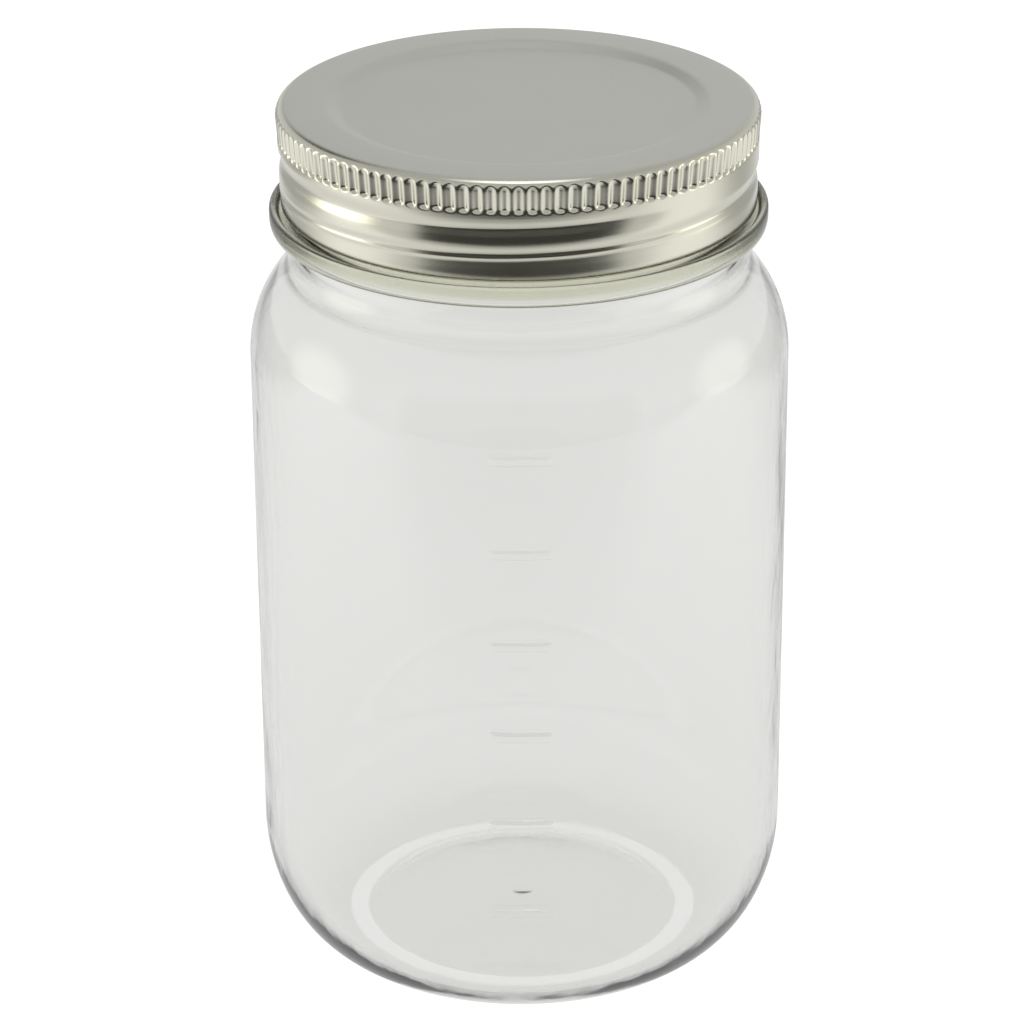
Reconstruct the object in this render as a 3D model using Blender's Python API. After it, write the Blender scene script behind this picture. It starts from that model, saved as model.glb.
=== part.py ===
"""A clear plastic jar with a one-piece screw lid, in metres, +Z up, standing on z = 0 at the origin.

Sub-parts: jar_body, lid_shell and sealing_ring. The lid shell turns about Z on lid_turn, which rides
on lid_rise, the empty that carries the sealing ring and climbs one thread pitch for each turn.
"""

from math import atan2, cos, hypot, pi, sin, tau

import bmesh
import bpy

MM = 0.001
STEPS = 60  # flats round every turned piece

# Jar, in millimetres
BODY_R = 41.0
WALL = 1.0
STANDING_R = (24.4, 28.1)  # inner and outer edge of the flat that the jar stands on
PUSH_UP = 3.0  # rise of the base inside the standing flat
HEEL_TOP = 19.9
SHOULDER_START = 98.6
SHOULDER_R = 28.6  # axis of the shoulder's elliptical section
SHOULDER_RISE = 16.3
SHOULDER_POWER = 1.9
NECK_R = 34.0
NECK_START = 113.04
BEAD_R = 37.5
BEAD_Z = (119.2, 121.7)
FINISH_R = 33.8  # neck above the bead, at the root of the thread
RIM_Z = 135.2
BORE_R = 31.5
FLOOR_EDGE_R = 27.5
FLOOR_EDGE_Z = 2.1
FLOOR_CROWN = 4.9

# Thread, shared by the neck's ridge and the lid's rolled groove
PITCH = 4.233
FRONT_ANGLE = -pi / 2
LID_GROOVE_FRONT_Z = 126.4
RIDGE_ABOVE_GROOVE = 2.25
RIDGE_HEIGHT = 1.15
RIDGE_HALF = (1.1, 1.1)  # half widths above and below the centre line
RIDGE_TURNS = (-0.58, 0.95)  # from the front, counter-clockwise seen from above
GROOVE_DEPTH = 1.2
GROOVE_HALF = (1.7, 1.1)
GROOVE_TURNS = (-0.36, 1.12)
FADE_TURNS = 0.08
THREAD_ROW = 0.6  # height of one row of faces where a thread runs

# Raised measuring marks on the front wall
MARK_COUNT = 6
MARK_FIRST_Z = 22.2
MARK_SPACING = 14.9
MARK_SIZE = (8.7, 0.25, 1.25)  # width, height above the wall, thickness up the wall

# Lid
LID_R = 36.2
LID_TOP = 137.6
LID_BOTTOM = 122.15
SHEET = 0.35
TOP_EDGE_R = 1.6
PANEL_R = (26.6, 28.6)  # inner and outer edge of the sloped step round the panel
PANEL_DROP = 0.83
GRIP_BOTTOM = 132.6
GRIP_WALL = 0.7  # sheet plus the depth of the pressed grip flutes
CURL = 1.1

# Sealing ring
RING_R = (30.2, 34.9)
RING_Z = (135.45, 137.1)
RING_BEVEL = 0.9


def clear_scene():
    for thing in list(bpy.data.objects):
        bpy.data.objects.remove(thing, do_unlink=True)


def plastic(name, color, roughness, metallic=0.0, alpha=1.0):
    material = bpy.data.materials.new(name)
    material.use_nodes = True
    shader = material.node_tree.nodes["Principled BSDF"]
    shader.inputs["Base Color"].default_value = (*color, 1.0)
    shader.inputs["Roughness"].default_value = roughness
    shader.inputs["Metallic"].default_value = metallic
    shader.inputs["Alpha"].default_value = alpha
    return material


def oval(center, radii, power, start, end, count):
    """Points along a superellipse's quarter, from angle start to angle end, both included."""
    points = []
    for i in range(count):
        angle = start + (end - start) * i / (count - 1)
        c, s = max(cos(angle), 0.0), sin(angle)
        side = 1 if s >= 0 else -1
        r = center[0] + radii[0] * c ** (2 / power)
        points.append((r, center[1] + side * radii[1] * abs(s) ** (2 / power)))
    return points


def rows(start, end):
    """Heights from start to end in steps of about THREAD_ROW, without either end."""
    count = round(abs(end - start) / THREAD_ROW)
    return [start + (end - start) * i / count for i in range(1, count)]


def swell(offset, half):
    """How far a thread's section stands at this height over its centre line, from 0 to 1."""
    share = abs(offset) / (half[0] if offset > 0 else half[1])
    return 0.5 + 0.5 * cos(pi * share) if share < 1 else 0.0


def helix_height(angle, z, front_z, half, turns):
    """The thread's height at an angle and a z, taking the strongest of its turns there."""
    best = 0.0
    for lap in range(-2, 3):
        turn = (angle - FRONT_ANGLE) / tau + lap
        ends = min(turn - turns[0], turns[1] - turn) / FADE_TURNS
        fade = min(max(ends, 0.0), 1.0)
        best = max(best, fade * swell(z - front_z - PITCH * turn, half))
    return best


def turned(name, profile, material, parent=None, thread=None):
    """A named solid of revolution about Z; thread(angle, r, z) gives how far a point moves out."""
    bm = bmesh.new()
    verts = [bm.verts.new((r, 0.0, z)) for r, z in profile]
    edges = [bm.edges.new(pair) for pair in zip(verts, verts[1:])]
    bmesh.ops.spin(
        bm, geom=verts + edges, cent=(0, 0, 0), axis=(0, 0, 1), angle=tau, steps=STEPS, use_merge=True
    )
    bmesh.ops.remove_doubles(bm, verts=bm.verts, dist=1e-4)
    for vert in bm.verts if thread else ():
        radius = hypot(vert.co.x, vert.co.y)
        push = thread(atan2(vert.co.y, vert.co.x), radius, vert.co.z)
        if push:
            vert.co.x *= 1 + push / radius
            vert.co.y *= 1 + push / radius
    bmesh.ops.scale(bm, vec=(MM, MM, MM), verts=bm.verts)
    bmesh.ops.recalc_face_normals(bm, faces=bm.faces)
    mesh = bpy.data.meshes.new(name)
    bm.to_mesh(mesh)
    bm.free()
    mesh.shade_smooth()
    mesh.set_sharp_from_angle(angle=0.6)
    mesh.materials.append(material)
    piece = bpy.data.objects.new(name, mesh)
    bpy.context.collection.objects.link(piece)
    piece.parent = parent
    return piece


def axis_empty(name, parent=None):
    empty = bpy.data.objects.new(name, None)
    bpy.context.collection.objects.link(empty)
    empty.empty_display_size = 0.02
    empty.parent = parent
    return empty


def jar_outside():
    """The jar's outer profile, from the middle of the base to the top of the rim."""
    inner, outer = STANDING_R
    gate = [(0.0, PUSH_UP - 0.4), (1.7, PUSH_UP - 0.4), (2.1, PUSH_UP)]
    dome = [(r, PUSH_UP * (1 - (r / (inner - 0.4)) ** 2.4)) for r in (9.0, 15.0, 20.0)]
    heel = oval((outer, HEEL_TOP), (BODY_R - outer, HEEL_TOP), 2.0, -pi / 2, 0.0, 8)
    shoulder = oval(
        (SHOULDER_R, SHOULDER_START), (BODY_R - SHOULDER_R, SHOULDER_RISE), SHOULDER_POWER, 0.0, pi / 2, 12
    )
    shoulder = [(r, z) for r, z in shoulder if r > NECK_R + 0.8]
    neck = [(NECK_R + 0.25, NECK_START), (NECK_R, NECK_START + 1.0), (NECK_R, BEAD_Z[0])]
    bead_mid = sum(BEAD_Z) / 2
    bead_round = oval((BEAD_R - 1.4, bead_mid), (1.4, BEAD_Z[1] - bead_mid), 2.4, -pi / 2, pi / 2, 7)
    finish = [(FINISH_R, BEAD_Z[1])]
    finish += [(FINISH_R, z) for z in rows(BEAD_Z[1], RIM_Z - 0.8)]
    rim = [(FINISH_R, RIM_Z - 0.8), (FINISH_R - 0.5, RIM_Z), (BORE_R + 0.5, RIM_Z)]
    return gate + dome + [(inner, 0.0)] + heel + shoulder + neck + bead_round + finish + rim


def jar_inside():
    """The jar's inner profile, from the mouth down to the middle of the floor."""
    wall_r = BODY_R - WALL
    start = (SHOULDER_R, SHOULDER_START)
    shoulder = oval(start, (wall_r - SHOULDER_R, SHOULDER_RISE - 1.3), SHOULDER_POWER, pi / 2, 0.0, 10)
    shoulder = [(r, z) for r, z in shoulder if r > BORE_R + 0.8]
    heel_top = HEEL_TOP + WALL
    heel = oval(
        (FLOOR_EDGE_R, heel_top), (wall_r - FLOOR_EDGE_R, heel_top - FLOOR_EDGE_Z), 2.0, 0.0, -pi / 2, 7
    )
    crown = FLOOR_CROWN - FLOOR_EDGE_Z
    floor = [(r, FLOOR_EDGE_Z + crown * (1 - (r / FLOOR_EDGE_R) ** 3)) for r in (22.0, 16.0, 9.0, 0.0)]
    return [(BORE_R, RIM_Z - 0.5), (BORE_R, NECK_START + 0.4)] + shoulder + heel + floor


def ridge(angle, r, z):
    """The neck's thread stands out of the finish only."""
    if abs(r - FINISH_R) > 0.01 or z <= BEAD_Z[1]:
        return 0.0
    center = LID_GROOVE_FRONT_Z + RIDGE_ABOVE_GROOVE
    return RIDGE_HEIGHT * helix_height(angle, z, center, RIDGE_HALF, RIDGE_TURNS)


def measuring_marks():
    """A hidden mesh of short rounded bars that is joined to the front wall."""
    width, height, thick = MARK_SIZE
    bm = bmesh.new()
    for i in range(MARK_COUNT):
        z = MARK_FIRST_Z + MARK_SPACING * i
        made = bmesh.ops.create_cube(bm, size=1.0)
        for vert in made["verts"]:
            front = vert.co.y < 0
            taper = 0.6 if front else 1.0
            x = vert.co.x * width * (0.95 if front else 1.0)
            y = -(BODY_R + height) if front else -(BODY_R - WALL / 2)
            vert.co = (x * MM, y * MM, (z + vert.co.z * thick * taper) * MM)
    mesh = bpy.data.meshes.new("measuring_marks")
    bm.to_mesh(mesh)
    bm.free()
    marks = bpy.data.objects.new("measuring_marks", mesh)
    bpy.context.collection.objects.link(marks)
    marks.hide_render = True
    marks.display_type = "WIRE"
    return marks


def jar_body():
    clear = plastic("clear_plastic", (0.93, 0.95, 0.92), 0.05, alpha=0.25)
    jar = turned("jar_body", jar_outside() + jar_inside(), clear, thread=ridge)
    join = jar.modifiers.new("join_marks", "BOOLEAN")
    join.operation = "UNION"
    join.solver = "EXACT"
    join.object = measuring_marks()
    return jar


def lid_profile():
    """The lid's closed section: over the top, down the skirt, round the curl and back up inside."""
    panel = LID_TOP - PANEL_DROP
    inner_r = LID_R - SHEET
    grip_r = LID_R - GRIP_WALL
    edge = oval((LID_R - TOP_EDGE_R, LID_TOP - TOP_EDGE_R), (TOP_EDGE_R,) * 2, 2.0, pi / 2, 0.0, 4)
    top = [(0.0, panel), (PANEL_R[0], panel), (PANEL_R[1], LID_TOP)] + edge
    curl_top = LID_BOTTOM + CURL
    outside = [(LID_R, GRIP_BOTTOM)]
    outside += [(LID_R, z) for z in rows(GRIP_BOTTOM, curl_top)]
    curl = [
        (LID_R, LID_BOTTOM + 0.4),
        (LID_R - 0.35, LID_BOTTOM),
        (LID_R - 0.8, LID_BOTTOM),
        (LID_R - CURL, LID_BOTTOM + 0.4),
        (inner_r, curl_top),
    ]
    inside = [(inner_r, z) for z in rows(curl_top, GRIP_BOTTOM - 0.35)]
    inside += [(inner_r, GRIP_BOTTOM - 0.35), (grip_r, GRIP_BOTTOM)]
    under = LID_TOP - SHEET
    crown = [(grip_r, under - 0.9), (grip_r - 0.9, under), (PANEL_R[1] + 0.1, under)]
    crown += [(PANEL_R[0] + 0.1, panel - SHEET), (0.0, panel - SHEET)]
    return top + outside + curl + inside + crown


def groove(angle, r, z):
    """The lid's rolled thread runs inwards on both faces of the skirt."""
    if r < LID_R - SHEET - 0.01 or not LID_BOTTOM + CURL < z < GRIP_BOTTOM - 0.05:
        return 0.0
    return -GROOVE_DEPTH * helix_height(angle, z, LID_GROOVE_FRONT_Z, GROOVE_HALF, GROOVE_TURNS)


def lid():
    rise = axis_empty("lid_rise")
    turn = axis_empty("lid_turn", rise)
    satin = plastic("satin_tinplate", (0.62, 0.62, 0.6), 0.32, metallic=1.0)
    compound = plastic("sealing_compound", (0.85, 0.84, 0.8), 0.6)
    turned("lid_shell", lid_profile(), satin, turn, groove)
    (r0, r1), (z0, z1) = RING_R, RING_Z
    section = [(r0, z0 + 0.3), (r0 + 0.3, z0), (r1 - 0.3, z0), (r1, z0 + 0.3)]
    section += [(r1, z1 - RING_BEVEL), (r1 - RING_BEVEL, z1), (r0, z1)]
    turned("sealing_ring", section + section[:1], compound, rise)


def main():
    clear_scene()
    jar_body()
    lid()


main()
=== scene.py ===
"""Looks for a clear plastic jar with a metal screw lid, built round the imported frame.

The jar, the lid and the sealing ring are turned meshes with their fine detail in the geometry: neck
thread, measuring marks, rolled thread and grip flutes. Outlines are in millimetres as (r, z), like the
frame's own driving sizes, and become metres when a mesh is made.
"""

from math import pi, radians, tau

import bmesh
import bpy
import numpy as np
from mathutils import Matrix, Vector


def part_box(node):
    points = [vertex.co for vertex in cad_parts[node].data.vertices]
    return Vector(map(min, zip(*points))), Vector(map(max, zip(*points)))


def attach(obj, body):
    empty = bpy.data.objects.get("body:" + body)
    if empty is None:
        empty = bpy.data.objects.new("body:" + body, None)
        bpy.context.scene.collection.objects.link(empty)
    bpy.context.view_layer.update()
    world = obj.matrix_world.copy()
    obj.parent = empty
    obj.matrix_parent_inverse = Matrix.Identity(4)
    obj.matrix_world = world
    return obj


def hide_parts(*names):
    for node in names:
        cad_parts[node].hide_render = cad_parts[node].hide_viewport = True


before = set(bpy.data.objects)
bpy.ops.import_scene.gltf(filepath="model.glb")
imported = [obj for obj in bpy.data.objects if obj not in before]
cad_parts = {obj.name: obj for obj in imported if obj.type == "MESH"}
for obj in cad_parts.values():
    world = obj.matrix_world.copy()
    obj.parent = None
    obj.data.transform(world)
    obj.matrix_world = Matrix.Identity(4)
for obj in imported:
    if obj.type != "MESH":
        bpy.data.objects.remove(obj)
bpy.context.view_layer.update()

MM = 0.001


def frame_size(node):
    """A round CAD node's outer radius, lowest and highest point, in millimetres."""
    low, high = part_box(node)
    return (high.x - low.x) / 2 / MM, low.z / MM, high.z / MM


# Sizes from the frame
BODY_R, _, RIM_Z = frame_size("jar_body")
LID_R, LID_BOTTOM, LID_TOP = frame_size("lid_shell")
RING_R, RING_LOW, RING_HIGH = frame_size("sealing_ring")

# Jar. A superellipse with SHOULDER_POWER joins the upright wall to the neck
WALL = 1.0
STANDING_R = (24.4, 28.1)  # inner and outer edge of the flat that the jar stands on
PUSH_UP = 3.0  # how high the base is pushed up in the middle
HEEL_TOP = 19.9  # where the rounded heel meets the upright wall
SHOULDER_START = 98.6
SHOULDER_R = 28.6  # where the superellipse has its centre
SHOULDER_RISE = 16.3
SHOULDER_POWER = 1.9
NECK_R = 34.0
NECK_START = 113.04  # where the shoulder would meet the neck without rounding
NECK_REACH = 1.9  # how far the rounding between shoulder and neck reaches
BEAD_R = 37.5
BEAD_Z = (119.2, 121.9)
MOAT_DEPTH = 0.7  # of the bead's top beside the finish
FINISH_R = 33.8
BORE_R = 31.5
NECK_BORE_R = 32.6  # inside, just below the finish
FLOOR_Z = 1.2
FLOOR_EDGE_R = (25.5, 27.2)  # where the floor starts to rise, and where the heel starts
FLOOR_CROWN = 4.6
DOME_POWER = 2.6  # the base's dome is flatter in the middle than a parabola

# Thread. Angles along it are in turns from the front
PITCH = 4.233
FRONT_ANGLE = -pi / 2
RIDGE_FRONT_Z = 128.65
RIDGE_HEIGHT = 1.15
RIDGE_HALF = 1.1  # half its width
RIDGE_TURNS = (-0.58, 0.95)
FADE_TURNS = 0.08  # over which a thread rises from nothing at its ends

# Measuring marks
MARK_COUNT = 6
MARK_FIRST_Z = 22.2
MARK_SPACING = 14.9
MARK_SIZE = (8.7, 0.28, 1.25)  # width, height above the wall, thickness up the wall
MARK_EDGE = 0.3  # width of a mark's sloping edge
MARKS_HALF_ANGLE = 8.0  # degrees either side of the front that the marks' fine mesh covers
MARK_ROWS = (-1.8, -1.3, *np.linspace(-1.05, 1.05, 16), 1.3, 1.8)  # mesh rows across a mark

# Lid
SHEET = 0.35
TOP_EDGE_R = 1.6
PANEL_R = (26.6, 28.6)  # foot and top of the step round the recessed panel
PANEL_DROP = 0.83
FLUTES = 114
FLUTE_Z = (132.45, 136.95)
FLUTE_DEPTH = (0.4, 0.54)  # at the top and at the bottom
FLUTE_END = 1.5  # how many times shorter than a half circle the ends are
GRIP_TAPER = 0.25  # the grip band is this much smaller at its bottom
GRIP_WALL = 0.7  # from the flutes' crests to the inside
GRIP_BOTTOM = 132.6
BAND_STEP = 0.22  # between the mesh rows down the skirt
THREAD_FRONT_Z = 126.4  # deepest line of the rolled thread
THREAD_TURNS = (-0.36, 1.12)
THREAD_BLENDS = (0.06, 0.78)  # where the section starts to change, in turns
THREAD_BLEND = 0.18  # how long each change takes
CURL = 1.1  # width of the curled lower edge

# Sections across the rolled thread, as (height from its deepest line, how far out the sheet moves)
THREAD_FRONT = (
    (-3.6, -0.22), (-2.2, -0.25), (-0.95, -0.26), (-0.8, -0.24), (-0.5, -0.14), (-0.38, -0.13),
    (-0.1, -0.24), (0.0, -0.25), (0.2, -0.24), (0.5, -0.18), (0.9, -0.08), (1.3, -0.02), (1.8, 0),
)
THREAD_SIDES = (
    (-2.2, -0.12), (-1.5, -0.2), (-0.7, -0.48), (0, -0.62), (0.7, -0.48), (1.4, -0.16), (1.9, 0),
)
THREAD_END = (
    (-2.4, 0), (-1.6, -0.06), (-0.5, -0.31), (-0.38, -0.34), (0.1, -0.24), (0.6, -0.12),
    (1.2, -0.04), (1.9, 0),
)


# Outlines


def superoval(center, radii, power, start, end, count):
    """Points along a superellipse's quarter, from angle start to angle end, both included."""
    angle = np.linspace(start, end, count)
    c = np.clip(np.cos(angle), 0, None)
    s = np.sin(angle)
    r = center[0] + radii[0] * c ** (2 / power)
    z = center[1] + radii[1] * np.sign(s) * np.abs(s) ** (2 / power)
    return list(zip(r, z))


def rounded(corners, steps=4):
    """An outline through (r, z, reach) corners, each cut back by its reach and rounded off."""
    points = []
    for i, (r, z, reach) in enumerate(corners):
        here = Vector((r, z))
        if not reach:
            points.append((r, z))
            continue
        before = Vector(corners[i - 1][:2])
        after = Vector(corners[i + 1][:2])
        start = here + (before - here).normalized() * reach
        end = here + (after - here).normalized() * reach
        for k in range(steps + 1):
            t = k / steps
            point = start * (1 - t) ** 2 + here * (2 * t * (1 - t)) + end * t**2
            points.append((point.x, point.y))
    return points


def refined(points, step):
    """The same outline with every stretch longer than step split evenly."""
    out = [points[0]]
    for (r0, z0), (r1, z1) in zip(points, points[1:]):
        count = max(1, round(np.hypot(r1 - r0, z1 - z0) / step))
        out += [(r0 + (r1 - r0) * i / count, z0 + (z1 - z0) * i / count) for i in range(1, count + 1)]
    return out


def smooth(x):
    """0 below 0, 1 above 1, with an even S between."""
    x = np.clip(x, 0, 1)
    return x * x * (3 - 2 * x)


def turned(name, outline, angles, shift=None):
    """A closed turned mesh; shift(angle, r, z) gives how far out each point moves, in millimetres."""
    r, z = np.array(outline).T
    angle = angles[:, None]
    radius = np.broadcast_to(r, (len(angles), len(r))).copy()
    height = np.broadcast_to(z, radius.shape)
    if shift:
        radius += shift(np.broadcast_to(angle, radius.shape), r, z)
    points = np.stack([radius * np.cos(angle), radius * np.sin(angle), height], axis=-1)
    columns, rows = radius.shape
    index = np.arange(columns * rows).reshape(columns, rows)
    beside = np.roll(index, -1, axis=0)
    quads = np.stack([index[:, :-1], beside[:, :-1], beside[:, 1:], index[:, 1:]], axis=-1)
    mesh = bpy.data.meshes.new(name)
    mesh.from_pydata((points.reshape(-1, 3) * MM).tolist(), [], quads.reshape(-1, 4).tolist())
    bm = bmesh.new()
    bm.from_mesh(mesh)
    bmesh.ops.remove_doubles(bm, verts=bm.verts, dist=1e-6)
    bmesh.ops.recalc_face_normals(bm, faces=bm.faces)
    bm.to_mesh(mesh)
    bm.free()
    mesh.shade_smooth()
    piece = bpy.data.objects.new(name, mesh)
    bpy.context.scene.collection.objects.link(piece)
    return piece


def turns_from_front(angle):
    return (angle - FRONT_ANGLE) / tau


# Jar


def jar_angles():
    """Columns that are fine across the measuring marks and coarser round the rest."""
    half = radians(MARKS_HALF_ANGLE)
    fine = np.linspace(-half, half, 49)
    rest = np.linspace(half, tau - half, 182)[1:-1]
    return FRONT_ANGLE + np.concatenate([fine, rest])


def mark_heights():
    return [MARK_FIRST_Z + MARK_SPACING * i for i in range(MARK_COUNT)]


def jar_outside():
    """The outside, from the middle of the base up and over the rim, with extra rows across the marks."""
    inner, outer = STANDING_R
    gate = rounded([(0.0, 3.08, 0), (1.5, 3.08, 0.5), (2.5, 3.22, 0.5), (3.4, 3.22, 0)], 3)
    dome_r = inner - 0.9
    dome = [
        (r, PUSH_UP * (1 - (r / dome_r) ** DOME_POWER) + 0.25) for r in np.linspace(5.0, dome_r - 0.6, 12)
    ]
    stand = rounded([(dome_r - 0.2, 0.28, 0), (inner, 0.0, 0.35), (outer - 0.8, 0.0, 0)], 3)
    heel = superoval((outer, HEEL_TOP), (BODY_R - outer, HEEL_TOP), 2.0, -pi / 2, 0.0, 26)
    rows = [z + dz for z in mark_heights() for dz in MARK_ROWS]
    rows = [HEEL_TOP + 0.3, *(z for z in rows if HEEL_TOP + 0.4 < z < SHOULDER_START - 0.1)]
    wall = refined([(BODY_R, z) for z in rows], 5.0)
    return gate + dome + stand + heel + wall + shoulder_and_neck() + bead_and_finish()


def shoulder_and_neck():
    shoulder = superoval(
        (SHOULDER_R, SHOULDER_START), (BODY_R - SHOULDER_R, SHOULDER_RISE), SHOULDER_POWER, 0.0, pi / 2, 40
    )
    shoulder = [(r, z) for r, z in shoulder if r > NECK_R + NECK_REACH]
    corner = (NECK_R, NECK_START + 1.3, NECK_REACH)
    neck = rounded([(*shoulder[-1], 0), corner, (NECK_R, BEAD_Z[0] - 1.8, 0)], 8)
    return shoulder + neck[1:]


def bead_and_finish():
    """The bead with the moat in its top, the finish that carries the thread, and the rim."""
    low, high = BEAD_Z
    moat = high - MOAT_DEPTH
    bead = [
        (NECK_R, low - 2.0, 0),
        (NECK_R, low - 0.5, 0.8),
        (BEAD_R - 0.3, low - 0.4, 0.5),
        (BEAD_R, low + 0.5, 0.4),
        (BEAD_R, high, 0.55),
        (BEAD_R - 1.1, high, 0.4),
        (BEAD_R - 1.5, moat, 0.3),
        (FINISH_R, moat, 0.7),
        (FINISH_R, high + 1.5, 0),
    ]
    bead = rounded(bead, 6)[1:]
    below = RIM_Z - 2.0
    rim = rounded([(FINISH_R, below, 0), (FINISH_R, RIM_Z, 0.7), (BORE_R, RIM_Z, 0.7), (BORE_R, below, 0)], 5)
    finish = refined([bead[-1], rim[0]], 0.45)
    return bead[:-1] + finish[:-1] + rim


def jar_inside():
    """The hollow's outline, close to parallel to the outside, so that the walls bend the view little."""
    wall_r = BODY_R - WALL
    radii = (wall_r - SHOULDER_R, SHOULDER_RISE - 1.15)
    shoulder = superoval((SHOULDER_R, SHOULDER_START), radii, SHOULDER_POWER, pi / 2, 0.0, 44)
    shoulder = [(r, z) for r, z in shoulder if r > NECK_BORE_R + 2.0]
    bore = [
        (BORE_R, RIM_Z - 5.0, 0),
        (BORE_R, 125.0, 0),
        (BORE_R, 118.6, 0.8),
        (NECK_BORE_R, 116.9, 0.8),
        (NECK_BORE_R, shoulder[0][1] + 1.3, NECK_REACH),
        (*shoulder[0], 0),
    ]
    bore = rounded(bore, 8)[:-1]
    wall = refined([(wall_r, SHOULDER_START - 0.8), (wall_r, HEEL_TOP + 0.8)], 5.0)
    inner, outer = FLOOR_EDGE_R
    heel = superoval((outer, HEEL_TOP), (wall_r - outer, HEEL_TOP - FLOOR_Z), 2.0, 0.0, -pi / 2, 30)
    crown = FLOOR_CROWN - FLOOR_Z
    floor = [
        (r, FLOOR_Z + crown * (1 - (r / inner) ** DOME_POWER)) for r in np.linspace(inner - 0.6, 0.0, 18)
    ]
    return bore + shoulder + wall + heel + floor


def neck_thread(angle, z):
    """The neck's single ridge, a helix that rises counter-clockwise seen from above."""
    best = np.zeros(np.broadcast(angle, z).shape)
    for lap in range(-2, 3):
        turn = turns_from_front(angle) + lap
        ends = np.minimum(turn - RIDGE_TURNS[0], RIDGE_TURNS[1] - turn) / FADE_TURNS
        offset = np.clip(np.abs(z - RIDGE_FRONT_Z - PITCH * turn) / RIDGE_HALF, 0, 1)
        best = np.maximum(best, smooth(ends) * (0.5 + 0.5 * np.cos(pi * offset)))
    return RIDGE_HEIGHT * best


def marks_shift(angle, z):
    """Short raised bars, each a little uneven, as moulded."""
    width, height, thick = MARK_SIZE
    across = (angle - FRONT_ANGLE + pi) % tau - pi
    x = across * BODY_R
    total = np.zeros(x.shape)
    rng = np.random.default_rng(7)
    for center in mark_heights():
        tilt, bend, lift = rng.uniform(-1, 1, 3)
        middle = center + 0.012 * tilt * x + 0.05 * bend * np.sin(x * 1.1 + lift)
        half = thick / 2 * (1 + 0.1 * lift)
        up = smooth((half - np.abs(z - middle)) / MARK_EDGE + 0.5)
        along = smooth((width / 2 - np.abs(x)) / MARK_EDGE + 0.5)
        total += height * (1 + 0.15 * bend) * up * along
    return total


def wall_unevenness(angle, z):
    """The slow changes of thickness that blow moulding leaves inside the wall."""
    slow = np.sin(2 * angle + 0.6) * np.sin(z / 17.0) + 0.6 * np.sin(3 * angle - z / 26.0)
    quick = 0.35 * np.sin(7 * angle + z / 9.0) * np.sin(z / 7.0 + 1.0)
    return 0.02 * (slow + quick)


def jar_shift(angle, r, z):
    """How far the thread, the marks and the wall's unevenness move each point."""
    shift = np.zeros(angle.shape)
    count = len(jar_outside())
    outside = np.arange(len(r)) < count
    finish = outside & (np.abs(r - FINISH_R) < 0.01) & (z > BEAD_Z[1])
    shift[:, finish] = neck_thread(angle[:, finish], z[finish])
    wall = outside & (r == BODY_R)
    shift[:, wall] += marks_shift(angle[:, wall], z[wall])
    hollow = ~outside & (r > NECK_BORE_R + 1.0) & (z > HEEL_TOP)
    shift[:, hollow] += wall_unevenness(angle[:, hollow], z[hollow])
    return shift


def make_jar():
    jar = turned("clear_jar", jar_outside() + jar_inside(), jar_angles(), jar_shift)
    jar.data.materials.append(clear_plastic())
    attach(jar, "jar")
    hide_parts("jar_body")


# Lid


def lid_outline():
    """The lid's closed section, and how many of its points are on the outside."""
    panel = LID_TOP - PANEL_DROP
    inner_r = LID_R - SHEET
    step = [(26.0, panel, 0), (PANEL_R[0], panel, 0.4), (PANEL_R[1], LID_TOP, 0.6), (30.5, LID_TOP, 0)]
    top = [(0.0, panel), (9.0, panel), (18.0, panel)] + rounded(step)
    top += superoval((LID_R - TOP_EDGE_R, LID_TOP - TOP_EDGE_R), (TOP_EDGE_R,) * 2, 2.0, pi / 2, 0.0, 9)
    low, high = FLUTE_Z
    grip = [LID_TOP - TOP_EDGE_R - 0.25, high - 1.5, high - 2.25]
    grip += [low + up for up in (1.5, 0.9, 0.7, 0.5, 0.3, 0.15, 0)]
    band = np.arange(low - 0.2, 123.6, -BAND_STEP)
    outside = top + [(LID_R, z) for z in (*grip, *band)]
    curl = [
        (LID_R, 123.4, 0),
        (LID_R, LID_BOTTOM, 0.5),
        (LID_R - 0.85, LID_BOTTOM, 0.35),
        (LID_R - CURL, LID_BOTTOM + 0.9, 0.3),
        (inner_r, LID_BOTTOM + CURL + 0.6, 0),
    ]
    curl = rounded(curl, 3)
    inside = refined([curl[-1], (inner_r, GRIP_BOTTOM - 0.4)], 0.62)[1:]
    under = LID_TOP - SHEET
    grip_r = LID_R - GRIP_WALL
    crown = [(grip_r, GRIP_BOTTOM), (grip_r, under - 0.9), (grip_r - 0.9, under), (PANEL_R[1], under)]
    crown += [(PANEL_R[0], panel - SHEET), (18.0, panel - SHEET), (0.0, panel - SHEET)]
    return outside + curl + inside + crown, len(outside) + 4


def flutes(angle, z):
    """Upright pressed hollows with round ends, side by side round the grip band, deeper at the bottom."""
    pitch = tau * LID_R / FLUTES
    across = ((angle * FLUTES / tau) % 1 - 0.5) * pitch
    low, high = FLUTE_Z
    end = pitch / 2 / FLUTE_END
    middle, straight = (low + high) / 2, (high - low) / 2 - end
    beyond = np.clip(np.abs(z - middle) - straight, 0, None) * FLUTE_END
    share = np.clip(np.hypot(across, beyond) / (pitch / 2), 0, 1)
    return -np.interp(z, FLUTE_Z, FLUTE_DEPTH[::-1]) * (0.5 + 0.5 * np.cos(pi * share))


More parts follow.
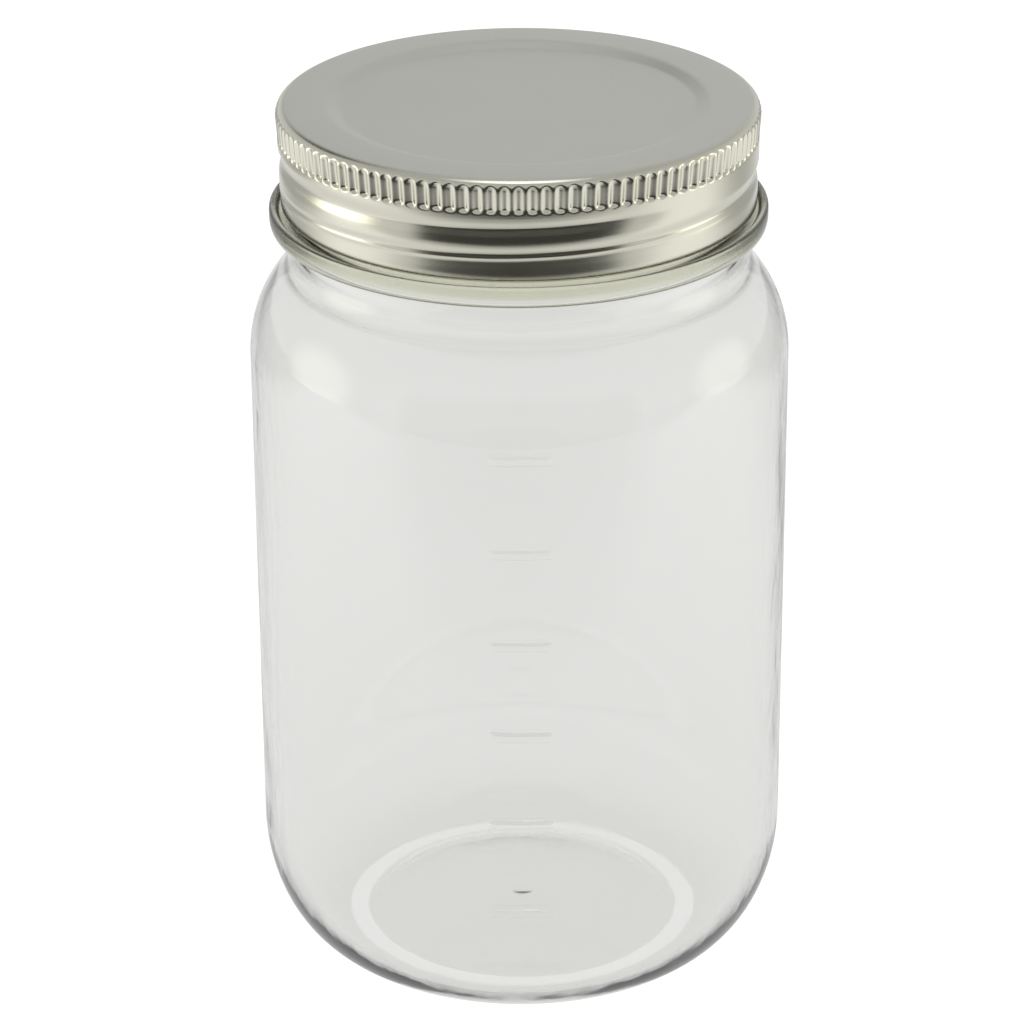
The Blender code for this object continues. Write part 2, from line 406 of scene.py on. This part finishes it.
def rolled_thread(angle, z):
    """The rolled thread: two sections in front, where it starts and ends, and a wider one elsewhere."""
    best = np.zeros(angle.shape)
    for lap in range(-2, 3):
        turn = turns_from_front(angle) + lap
        ends = smooth(np.minimum(turn - THREAD_TURNS[0], THREAD_TURNS[1] - turn) / FADE_TURNS)
        offset = z - THREAD_FRONT_Z - PITCH * turn
        sections = (THREAD_FRONT, THREAD_SIDES, THREAD_END)
        levels = [np.interp(offset, *zip(*section)) for section in sections]
        first, second = (smooth((turn - start) / THREAD_BLEND) for start in THREAD_BLENDS)
        level = levels[0] * (1 - first) + levels[1] * (first - second) + levels[2] * second
        best = np.minimum(best, ends * level)
    return best


def make_lid():
    outline, outside = lid_outline()

    def shift(angle, r, z):
        moved = np.zeros(angle.shape)
        rows = np.arange(len(r))
        side = (r > LID_R - CURL - 0.01) & (z < LID_TOP - TOP_EDGE_R + 0.01)
        moved[:, side] = -GRIP_TAPER * smooth((FLUTE_Z[1] - z[side]) / (FLUTE_Z[1] - FLUTE_Z[0]))
        grip = (rows < outside) & (r > LID_R - TOP_EDGE_R) & (z > FLUTE_Z[0] - 0.1)
        moved[:, grip] += flutes(angle[:, grip], z[grip])
        skirt = (r > LID_R - CURL - 0.01) & (z < GRIP_BOTTOM - 0.05)
        moved[:, skirt] += rolled_thread(angle[:, skirt], z[skirt]) * smooth((GRIP_BOTTOM - z[skirt]) / 0.3)
        return moved

    angles = np.linspace(0, tau, 8 * FLUTES, endpoint=False)
    lid = turned("screw_lid", outline, angles, shift)
    lid.data.materials.append(satin_tinplate())
    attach(lid, "lid")
    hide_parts("lid_shell")


def make_ring():
    """The ring of sealing compound, flowed into the lid's channel, with rounded edges."""
    inner = RING_R - 4.6
    low, high = RING_LOW, RING_HIGH
    outline = [
        (inner + 1.5, low, 0),
        (inner + 0.2, low + 0.1, 0.5),
        (inner, high, 0.3),
        (RING_R - 0.8, high, 0.5),
        (RING_R, high - 0.9, 0.4),
        (RING_R, low, 0.5),
        (RING_R - 1.5, low + 0.12, 0.5),
        (inner + 1.5, low, 0),
    ]
    ring = turned("seal_ring", rounded(outline), np.linspace(0, tau, 240, endpoint=False))
    ring.data.materials.append(sealing_compound())
    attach(ring, "seal")
    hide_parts("sealing_ring")


# Materials


class Surface:
    """A material with one Principled shader, and short calls for the nodes that feed it."""

    def __init__(self, name):
        self.material = bpy.data.materials.new(name)
        self.material.use_nodes = True
        self.tree = self.material.node_tree
        self.shader = self.tree.nodes["Principled BSDF"]
        self.output = self.tree.nodes["Material Output"]
        self.place = self.add("ShaderNodeTexCoord").outputs["Object"]

    def add(self, kind, **settings):
        node = self.tree.nodes.new(kind)
        for key, value in settings.items():
            setattr(node, key, value)
        return node

    def put(self, node, **values):
        for key, value in values.items():
            socket = node.inputs[key.replace("_", " ")]
            if isinstance(value, bpy.types.NodeSocket):
                self.tree.links.new(value, socket)
            else:
                socket.default_value = value
        return node

    def noise(self, scale, detail=3.0, stretch=(1, 1, 1)):
        place = self.add("ShaderNodeMapping")
        self.put(place, Vector=self.place, Scale=stretch)
        node = self.add("ShaderNodeTexNoise")
        self.put(node, Vector=place.outputs[0], Scale=scale, Detail=detail)
        return node.outputs["Fac"]

    def spread(self, value, low, high, to_low, to_high):
        node = self.add("ShaderNodeMapRange", interpolation_type="SMOOTHSTEP")
        self.put(node, Value=value, From_Min=low, From_Max=high, To_Min=to_low, To_Max=to_high)
        return node.outputs[0]

    def math(self, operation, first, second):
        node = self.add("ShaderNodeMath", operation=operation)
        for socket, value in zip(node.inputs, (first, second)):
            if isinstance(value, bpy.types.NodeSocket):
                self.tree.links.new(value, socket)
            else:
                socket.default_value = value
        return node.outputs[0]

    def blend(self, share, first, second):
        node = self.add("ShaderNodeMix", data_type="RGBA")
        self.tree.links.new(share, node.inputs["Factor"])
        for socket, color in zip(node.inputs[6:8], (first, second)):
            if isinstance(color, bpy.types.NodeSocket):
                self.tree.links.new(color, socket)
            else:
                socket.default_value = (*color, 1)
        return node.outputs[2]

    def bump(self, height, strength, distance):
        node = self.add("ShaderNodeBump")
        self.put(node, Height=height, Strength=strength, Distance=distance)
        self.put(self.shader, Normal=node.outputs[0])

    def radius(self):
        """Distance from the object's upright axis."""
        flat = self.add("ShaderNodeVectorMath", operation="MULTIPLY")
        self.tree.links.new(self.place, flat.inputs[0])
        flat.inputs[1].default_value = (1, 1, 0)
        length = self.add("ShaderNodeVectorMath", operation="LENGTH")
        self.tree.links.new(flat.outputs[0], length.inputs[0])
        return length.outputs["Value"]


def clear_plastic():
    """Clear moulded polyester: glossy, with a faint olive tint where the light's way through is long.

    The bead under the lid is thick and cools slowly, which leaves it hazy and a little olive. Its darker
    olive base colour is also painted shade, standing in for the unlit gap under the lid's edge.
    """
    s = Surface("clear_plastic")
    split = s.add("ShaderNodeSeparateXYZ")
    s.tree.links.new(s.place, split.inputs[0])
    below = s.spread(split.outputs["Z"], (BEAD_Z[0] + 0.1) * MM, (BEAD_Z[0] + 1.7) * MM, 0.0, 1.0)
    above = s.spread(split.outputs["Z"], (BEAD_Z[1] + 0.2) * MM, (BEAD_Z[1] + 1.0) * MM, 1.0, 0.0)
    bead = s.math("MULTIPLY", below, above)
    # Painted shade: the bead's base colour is darker olive, partly the thick bead's own olive haze and partly
    # the shade in the gap under the lid's edge
    color = s.blend(bead, (0.985, 0.987, 0.978), (0.72, 0.71, 0.53))
    s.put(s.shader, Base_Color=color, IOR=1.575, Transmission_Weight=1.0)
    haze = s.spread(s.noise(90.0, 4.0), 0.35, 0.75, 0.02, 0.06)
    s.put(s.shader, Roughness=s.math("ADD", haze, s.math("MULTIPLY", bead, 0.24)))
    s.bump(s.noise(160.0, 2.0, (1, 1, 0.5)), 0.15, 0.0002)
    tint = s.add("ShaderNodeVolumeAbsorption")
    s.put(tint, Color=(0.6, 0.64, 0.3, 1), Density=16.0)
    s.tree.links.new(tint.outputs[0], s.output.inputs["Volume"])
    return s.material


def satin_tinplate():
    """Bright tinplate: satin on the rolled skirt, matte and finely grained on the top."""
    s = Surface("satin_tinplate")
    top = s.spread(s.radius(), (LID_R - TOP_EDGE_R) * MM, (LID_R - TOP_EDGE_R + 1.1) * MM, 1.0, 0.0)
    grain = s.noise(5200.0, 2.0, (1, 0.25, 1))
    clouds = s.noise(60.0, 3.0)
    rough = s.spread(top, 0.0, 1.0, 0.2, 0.46)
    rough = s.math("ADD", rough, s.spread(clouds, 0.3, 0.7, -0.012, 0.012))
    rough = s.math("ADD", rough, s.spread(grain, 0.3, 0.7, -0.02, 0.02))
    cloudy = s.spread(clouds, 0.3, 0.7, 0.0, 1.0)
    skirt = s.blend(cloudy, (0.72, 0.71, 0.605), (0.74, 0.73, 0.625))
    color = s.blend(top, skirt, s.blend(cloudy, (0.725, 0.725, 0.67), (0.745, 0.745, 0.69)))
    s.put(s.shader, Base_Color=color, Metallic=1.0, Roughness=rough)
    s.bump(s.math("MULTIPLY", grain, s.spread(top, 0.0, 1.0, 0.12, 1.0)), 0.1, 0.00004)
    return s.material


def sealing_compound():
    """Flowed plastisol: off-white, soft and slightly mottled."""
    s = Surface("sealing_compound")
    mottle = s.noise(420.0, 4.0)
    color = s.blend(s.spread(mottle, 0.3, 0.7, 0.0, 1.0), (0.78, 0.76, 0.70), (0.86, 0.84, 0.79))
    s.put(s.shader, Base_Color=color, Roughness=s.spread(mottle, 0.3, 0.7, 0.5, 0.62))
    s.bump(mottle, 0.2, 0.00008)
    return s.material


# Stage and camera, in metres and radians

CAMERA_BACK = 0.58615
CAMERA_HEIGHT = 0.33516
CAMERA_PITCH = 0.42443
CAMERA_YAW = -0.00219
CAMERA_ROLL = -0.00605
CAMERA_LENS = 145.54

FLOOR_SIZE = 6.0
FLOOR_GLOW = 0.95
TABLE_GLOW = 0.7
AIM_HEIGHT = 0.08  # of the point that the softboxes face
SKY_GLOW = (0.72, 0.45)  # at the horizon and straight up


def make_camera():
    data = bpy.data.cameras.new("camera")
    data.lens = CAMERA_LENS
    data.sensor_width = 36.0
    data.clip_start = 0.01
    camera = bpy.data.objects.new("camera", data)
    turn = Matrix.Rotation(-CAMERA_YAW, 4, "Z") @ Matrix.Rotation(pi / 2 - CAMERA_PITCH, 4, "X")
    turn = turn @ Matrix.Rotation(CAMERA_ROLL, 4, "Z")
    camera.matrix_world = Matrix.Translation((0, -CAMERA_BACK, CAMERA_HEIGHT)) @ turn
    bpy.context.scene.collection.objects.link(camera)
    bpy.context.scene.camera = camera


def sheet_mesh(name, width, depth, location, direction=(0, 0, 1)):
    """A flat rectangle that faces along direction."""
    mesh = bpy.data.meshes.new(name)
    x, y = width / 2, depth / 2
    mesh.from_pydata([(-x, -y, 0), (x, -y, 0), (x, y, 0), (-x, y, 0)], [], [(0, 1, 2, 3)])
    thing = bpy.data.objects.new(name, mesh)
    thing.rotation_euler = Vector((0, 0, 1)).rotation_difference(Vector(direction)).to_euler()
    thing.location = location
    bpy.context.scene.collection.objects.link(thing)
    return thing


def glow(name):
    """A plain white surface that gives off light of its own."""
    s = Surface(name)
    s.put(s.shader, Base_Color=(0.2, 0.2, 0.2, 1), Roughness=0.9, Specular_IOR_Level=0.0)
    s.put(s.shader, Emission_Color=(1, 1, 1, 1), Emission_Strength=FLOOR_GLOW)
    return s


def make_floor():
    """A white floor for the camera, and a dimmer light table that lights the jar and shows through it.

    The table is brighter beside the jar, towards the lamps, and dimmer in front and in the far corners.
    """
    floor = sheet_mesh("floor", FLOOR_SIZE, FLOOR_SIZE, (0, 0.6, 0))
    floor.data.materials.append(glow("white_floor").material)
    floor.visible_diffuse = False
    floor.visible_glossy = False
    floor.visible_transmission = False
    table = sheet_mesh("light_table", FLOOR_SIZE, FLOOR_SIZE, (0, 0, 0))
    s = glow("light_table")
    split = s.add("ShaderNodeSeparateXYZ")
    s.tree.links.new(s.place, split.inputs[0])
    beside = s.spread(s.math("ABSOLUTE", split.outputs["X"], 0.0), 0.1, 0.35, 0.0, 1.0)
    beside = s.math("MULTIPLY", beside, s.spread(split.outputs["Y"], 0.0, 0.25, 0.25, -0.35))
    ahead = s.spread(split.outputs["Y"], -0.25, -0.12, -0.4, 0.0)
    s.put(s.shader, Emission_Strength=s.math("ADD", s.math("ADD", beside, ahead), TABLE_GLOW))
    table.data.materials.append(s.material)
    table.visible_camera = False


def make_dark_card(name, size, location, direction, edge):
    """A black card with soft edges that shows only as a reflection, as the unlit side of a studio does."""
    card = sheet_mesh(name, *size, location, direction)
    s = Surface(name)
    s.put(s.shader, Base_Color=(0.06, 0.058, 0.05, 1), Roughness=1.0, Specular_IOR_Level=0.0)
    split = s.add("ShaderNodeSeparateXYZ")
    s.tree.links.new(s.place, split.inputs[0])
    share = []
    for axis, length in zip(split.outputs, size):
        away = s.math("ABSOLUTE", axis, 0.0)
        share.append(s.spread(away, length / 2 - edge, length / 2, 1.0, 0.0))
    s.put(s.shader, Alpha=s.math("MULTIPLY", *share))
    card.data.materials.append(s.material)
    card.visible_camera = False
    card.visible_diffuse = False
    card.visible_transmission = False
    card.visible_shadow = False


def softbox(name, size, location, strength, color=(1, 1, 1)):
    """A lit panel that faces the jar, brightest in the middle and fading to nothing at its rim."""
    middle = Vector((0, 0, AIM_HEIGHT))
    panel = sheet_mesh(name, size, size, location, middle - Vector(location))
    s = Surface(name)
    s.put(s.shader, Base_Color=(0, 0, 0, 1), Roughness=1.0, Specular_IOR_Level=0.0)
    length = s.add("ShaderNodeVectorMath", operation="LENGTH")
    s.tree.links.new(s.place, length.inputs[0])
    fall = s.spread(length.outputs["Value"], size * 0.14, size * 0.5, 1.0, 0.0)
    s.put(s.shader, Emission_Color=(*color, 1), Alpha=fall)
    s.put(s.shader, Emission_Strength=s.math("MULTIPLY", fall, strength))
    panel.data.materials.append(s.material)
    panel.visible_camera = False
    panel.visible_transmission = False


def make_lights():
    softbox("left_box", 0.85, (-0.75, 0.0, 0.12), 2.2, (1.0, 0.97, 0.86))
    softbox("right_box", 0.8, (0.75, 0.04, 0.14), 1.9, (1.0, 0.97, 0.86))
    softbox("back_box", 0.6, (0.42, 0.75, 0.85), 0.6)
    softbox("overhead_box", 0.8, (0.0, -0.1, 1.0), 2.0)
    world = bpy.data.worlds.new("studio")
    world.use_nodes = True
    tree = world.node_tree
    background = tree.nodes["Background"]
    background.inputs["Color"].default_value = (1.0, 1.0, 1.0, 1)
    place = tree.nodes.new("ShaderNodeTexCoord")
    split = tree.nodes.new("ShaderNodeSeparateXYZ")
    tree.links.new(place.outputs["Generated"], split.inputs[0])
    fade = tree.nodes.new("ShaderNodeMapRange")
    tree.links.new(split.outputs["Z"], fade.inputs["Value"])
    fade.inputs["To Min"].default_value, fade.inputs["To Max"].default_value = SKY_GLOW
    tree.links.new(fade.outputs[0], background.inputs["Strength"])
    bpy.context.scene.world = world
    bpy.context.scene.view_settings.view_transform = "Standard"


make_camera()
make_jar()
make_lid()
make_ring()
make_floor()
make_dark_card("front_card", (0.68, 0.6), (0, -0.28, -0.06), (0, 1, 0), 0.09)
make_dark_card("back_card", (0.7, 0.5), (-0.45, 0.75, 0.85), (0.5, -0.7, -0.8), 0.15)
make_lights()
